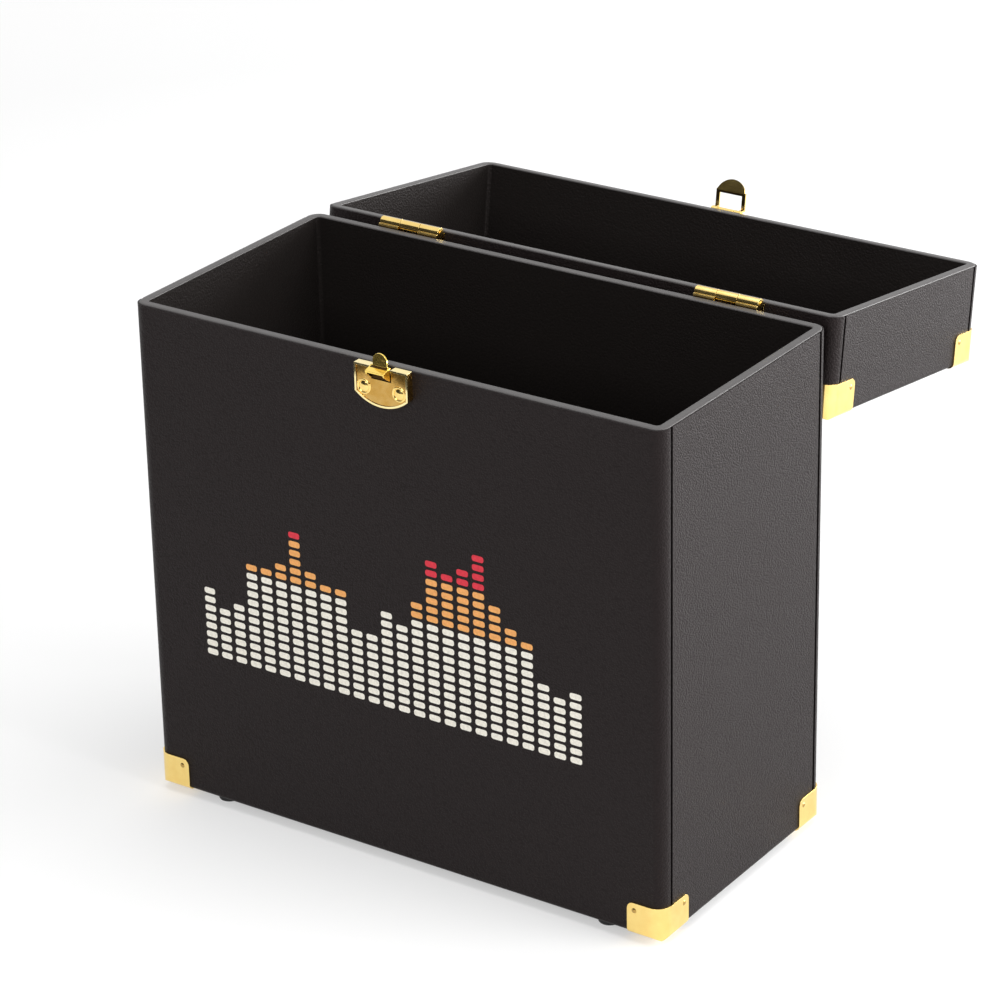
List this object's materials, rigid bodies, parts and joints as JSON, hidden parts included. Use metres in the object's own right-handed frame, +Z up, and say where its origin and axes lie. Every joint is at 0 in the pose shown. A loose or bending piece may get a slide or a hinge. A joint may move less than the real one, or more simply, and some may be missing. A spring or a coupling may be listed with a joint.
{
  "type": "record carrying case",
  "caption": "Covered board carrying case for records, with a lid that folds right back, metal corner caps, a sprung catch, a hasp and a swinging handle.",
  "frame": {"origin": "on the ground under the middle of the lid's hinge axis, which is also within 1 mm of the middle of the open case", "axes": "+X along the front to the right as seen from the front, -Y out of the front, +Z up; the lid opens over the back towards +Y"},
  "size_m": [0.3426, 0.3649, 0.3077],
  "materials": {
    "board": "hardboard primed black",
    "outer_cover": "pebble-grained leathercloth",
    "lining": "matt paper-backed cloth",
    "rim_tape": "smooth satin cloth tape",
    "gold_metal": "polished plated brass",
    "steel": "bright steel",
    "foot": "moulded rubber",
    "grip_cover": "stitched pebble-grained leathercloth"
  },
  "bodies": {
    "case": {"body_front_board": "board", "body_back_board": "board", "body_left_board": "board", "body_right_board": "board", "body_base_board": "board", "body_front_cover": "outer_cover", "body_back_cover": "outer_cover", "body_left_cover": "outer_cover", "body_right_cover": "outer_cover", "body_base_cover": "outer_cover", "body_lining": "lining", "body_rim": "rim_tape", "body_cap_front_left": "gold_metal", "body_cap_front_right": "gold_metal", "body_cap_back_left": "gold_metal", "body_cap_back_right": "gold_metal", "body_cap_nails": "gold_metal", "feet": "foot", "foot_screws": "steel", "catch_plate": "gold_metal", "catch_screws": "gold_metal", "catch_pin": "steel", "catch_spring": "steel", "hinge_left_body_leaf": "gold_metal", "hinge_right_body_leaf": "gold_metal", "hinge_body_screws": "gold_metal", "hinge_pins": "gold_metal"},
    "catch": {"catch_lever": "gold_metal"},
    "lid": {"lid_front_board": "board", "lid_back_board": "board", "lid_left_board": "board", "lid_right_board": "board", "lid_top_board": "board", "lid_front_cover": "outer_cover", "lid_back_cover": "outer_cover", "lid_left_cover": "outer_cover", "lid_right_cover": "outer_cover", "lid_top_cover": "outer_cover", "lid_lining": "lining", "lid_rim": "rim_tape", "lid_cap_front_left": "gold_metal", "lid_cap_front_right": "gold_metal", "lid_cap_back_left": "gold_metal", "lid_cap_back_right": "gold_metal", "lid_cap_nails": "gold_metal", "hinge_left_lid_leaf": "gold_metal", "hinge_right_lid_leaf": "gold_metal", "hinge_lid_screws": "gold_metal", "hasp_leaf": "gold_metal", "hasp_rivets": "gold_metal", "hasp_pin": "gold_metal", "handle_bracket_left": "gold_metal", "handle_bracket_right": "gold_metal", "handle_rivets": "gold_metal", "handle_pins": "gold_metal"},
    "hasp": {"hasp": "gold_metal"},
    "handle": {"handle_core": "gold_metal", "handle_grip": "grip_cover"}
  },
  "joints": [
    {"name": "lid_hinge", "type": "hinge", "parent": "case", "child": "lid", "pos_m": [0, 0, 0.3011], "axis": [1, 0, 0], "range_deg": [0, 187.9]},
    {"name": "hasp_hinge", "type": "hinge", "parent": "lid", "child": "hasp", "pos_m": [0, 0.17275, 0.27642], "axis": [-1, 0, 0], "range_deg": [0, 100]},
    {"name": "catch_rocker", "type": "hinge", "parent": "case", "child": "catch", "pos_m": [0, -0.17425, 0.2968], "axis": [1, 0, 0], "range_deg": [0, 10], "stiffness_Nm_per_rad": 0.1, "springref_deg": -5.73},
    {"name": "handle_swing", "type": "hinge", "parent": "lid", "child": "handle", "pos_m": [0, 0.07908, 0.22713], "axis": [1, 0, 0], "range_deg": [-85.9, 70.1]}
  ]
}
